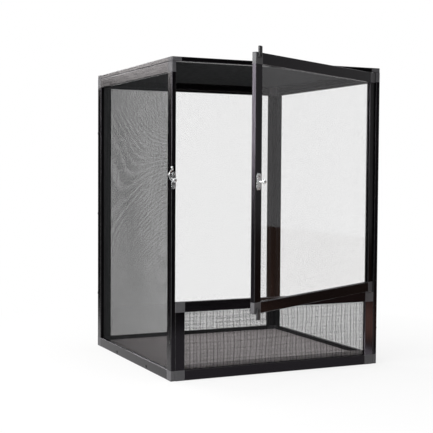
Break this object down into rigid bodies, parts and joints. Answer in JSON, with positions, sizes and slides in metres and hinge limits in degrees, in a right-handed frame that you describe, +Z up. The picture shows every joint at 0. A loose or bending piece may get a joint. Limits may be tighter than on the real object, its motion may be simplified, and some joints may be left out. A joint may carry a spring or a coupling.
{
  "type": "mesh reptile cage",
  "caption": "Upright box of screen panels in slim dark frames with corner blocks, a solid floor, a low fixed front panel and a tall hinged clear door held by a hook latch",
  "frame": {"origin": "the middle of the cage's footprint, on the ground under the floor board", "axes": "X to the cage's right as one faces its door, Y from the door to the rear, Z up"},
  "size_m": [0.4586, 0.6403, 0.5959],
  "materials": {
    "frame_bar": "black anodised extrusion, satin",
    "corner_block": "dark grey moulded plastic",
    "mesh": "fine grey screen mesh",
    "clear_pane": "clear acrylic sheet",
    "spline": "black rubber cord",
    "hinge_pin": "plain steel pin",
    "bright_metal": "bright zinc-plated steel",
    "dark_screw": "blackened steel screw",
    "floor": "matt grey board"
  },
  "bodies": {
    "cage": {"top_front_rail": "frame_bar", "top_rear_rail": "frame_bar", "top_left_rail": "frame_bar", "top_right_rail": "frame_bar", "top_corners": "corner_block", "top_mesh": "mesh", "top_spline": "spline", "left_bottom_rail": "frame_bar", "left_top_rail": "frame_bar", "left_rear_stile": "frame_bar", "left_front_stile": "frame_bar", "left_corners": "corner_block", "left_mesh": "mesh", "left_spline": "spline", "right_bottom_rail": "frame_bar", "right_top_rail": "frame_bar", "right_front_stile": "frame_bar", "right_rear_stile": "frame_bar", "right_corners": "corner_block", "right_mesh": "mesh", "right_spline": "spline", "back_bottom_rail": "frame_bar", "back_top_rail": "frame_bar", "back_right_stile": "frame_bar", "back_left_stile": "frame_bar", "back_corners": "corner_block", "back_mesh": "mesh", "back_spline": "spline", "lower_bottom_rail": "frame_bar", "lower_top_rail": "frame_bar", "lower_left_stile": "frame_bar", "lower_right_stile": "frame_bar", "lower_corners": "corner_block", "lower_mesh": "mesh", "lower_spline": "spline", "latch_plate": "bright_metal", "latch_rivet": "bright_metal", "latch_screws": "bright_metal", "floor_board": "floor", "litter_strip": "floor", "panel_screws": "dark_screw"},
    "door": {"door_bottom_rail": "frame_bar", "door_top_rail": "frame_bar", "door_free_stile": "frame_bar", "door_hinge_stile": "frame_bar", "door_corners": "corner_block", "door_pane": "clear_pane", "upper_hinge_pin": "hinge_pin", "lower_hinge_pin": "hinge_pin", "upper_stop_tab": "corner_block", "lower_stop_tab": "corner_block", "stop_tab_screws": "dark_screw", "keeper_plate": "bright_metal", "keeper_stud": "bright_metal", "keeper_screws": "bright_metal"},
    "hook": {"latch_hook": "bright_metal"}
  },
  "joints": [
    {"name": "door_hinge", "type": "hinge", "parent": "cage", "child": "door", "pos_m": [0.20985, -0.20855, 0], "axis": [0, 0, 1], "range_deg": [-29, 80]},
    {"name": "hook_pivot", "type": "hinge", "parent": "cage", "child": "hook", "pos_m": [-0.22075, -0.2125, 0.37], "axis": [0, 1, 0], "range_deg": [-40, 106]}
  ]
}
